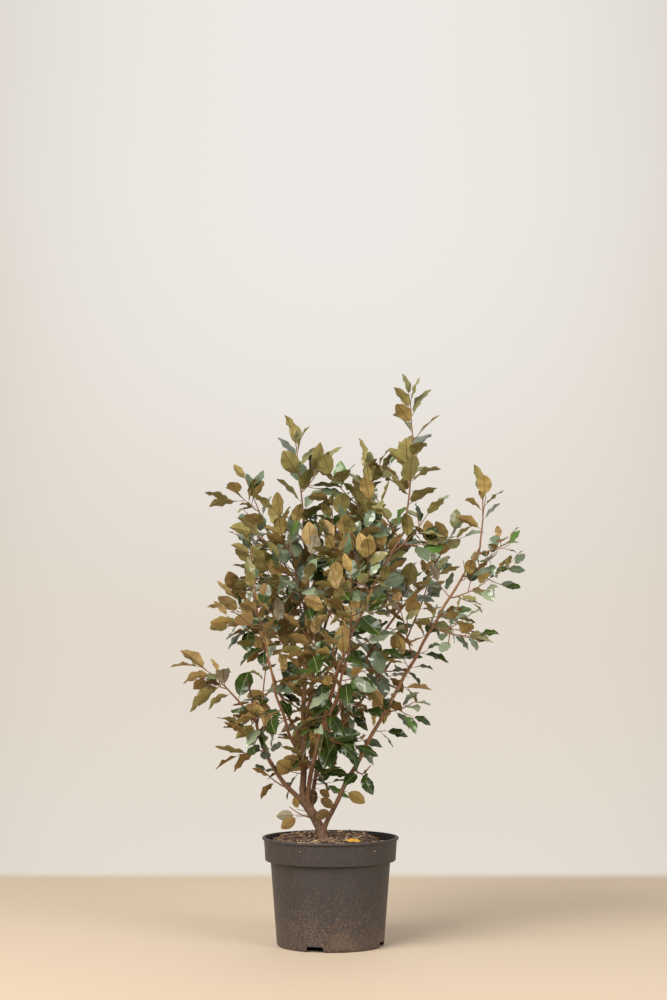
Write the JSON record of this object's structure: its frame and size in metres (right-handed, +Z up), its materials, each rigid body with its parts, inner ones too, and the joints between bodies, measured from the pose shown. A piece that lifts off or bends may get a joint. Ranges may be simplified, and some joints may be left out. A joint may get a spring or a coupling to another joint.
{
  "type": "potted elaeagnus shrub",
  "caption": "Evergreen garden shrub with a short forked trunk, slender rising boughs and leathery oval leaves, in a round plastic nursery pot.",
  "frame": {"origin": "the middle of the pot's flat underside, on the surface that the pot stands on", "axes": "+Z straight up; the front of the shrub, as in the picture, faces -Y; +X is to the right in that view"},
  "size_m": [0.6901, 0.5565, 1.1061],
  "materials": {
    "pot": "dark warm grey moulded plastic with fine pale and rusty speckles",
    "soil": "dark compost under chipped bark mulch",
    "trunk": "rough brown bark",
    "boughs": "young reddish-brown bark with a fine scurf",
    "foliage": "leathery leaves, glossy green above and tan below, bronzed at the crown's top"
  },
  "bodies": {
    "root": {"pot": "pot", "soil": "soil", "trunk": "trunk", "back_bough": "boughs", "back_left_bough": "boughs", "back_right_bough": "boughs", "front_bough": "boughs", "front_left_bough": "boughs", "inner_right_bough": "boughs", "left_bough": "boughs", "low_left_bough": "boughs", "middle_bough": "boughs", "right_bough": "boughs", "tall_bough": "boughs", "back_leader": "foliage", "back_left_leader": "foliage", "back_left_spray_1": "foliage", "back_left_spray_2": "foliage", "back_right_leader": "foliage", "back_right_spray_1": "foliage", "back_spray_1": "foliage", "front_leader": "foliage", "front_left_leader": "foliage", "front_left_spray_1": "foliage", "front_spray_1": "foliage", "front_spray_2": "foliage", "inner_right_leader": "foliage", "inner_right_spray_1": "foliage", "inner_right_spray_2": "foliage", "inner_right_spray_3": "foliage", "left_leader": "foliage", "left_spray_1": "foliage", "left_spray_2": "foliage", "left_spray_3": "foliage", "left_spray_4": "foliage", "left_spray_5": "foliage", "low_left_leader": "foliage", "low_left_spray_1": "foliage", "low_left_spray_2": "foliage", "low_left_spray_3": "foliage", "middle_leader": "foliage", "middle_spray_1": "foliage", "middle_spray_2": "foliage", "middle_spray_3": "foliage", "right_leader": "foliage", "right_spray_1": "foliage", "right_spray_2": "foliage", "right_spray_3": "foliage", "right_spray_4": "foliage", "right_spray_5": "foliage", "right_spray_6": "foliage", "right_spray_7": "foliage", "tall_leader": "foliage", "tall_spray_1": "foliage", "tall_spray_2": "foliage", "tall_spray_3": "foliage", "tall_spray_4": "foliage", "tall_spray_5": "foliage", "tall_spray_6": "foliage", "trunk_sprout": "foliage"}
  },
  "joints": []
}
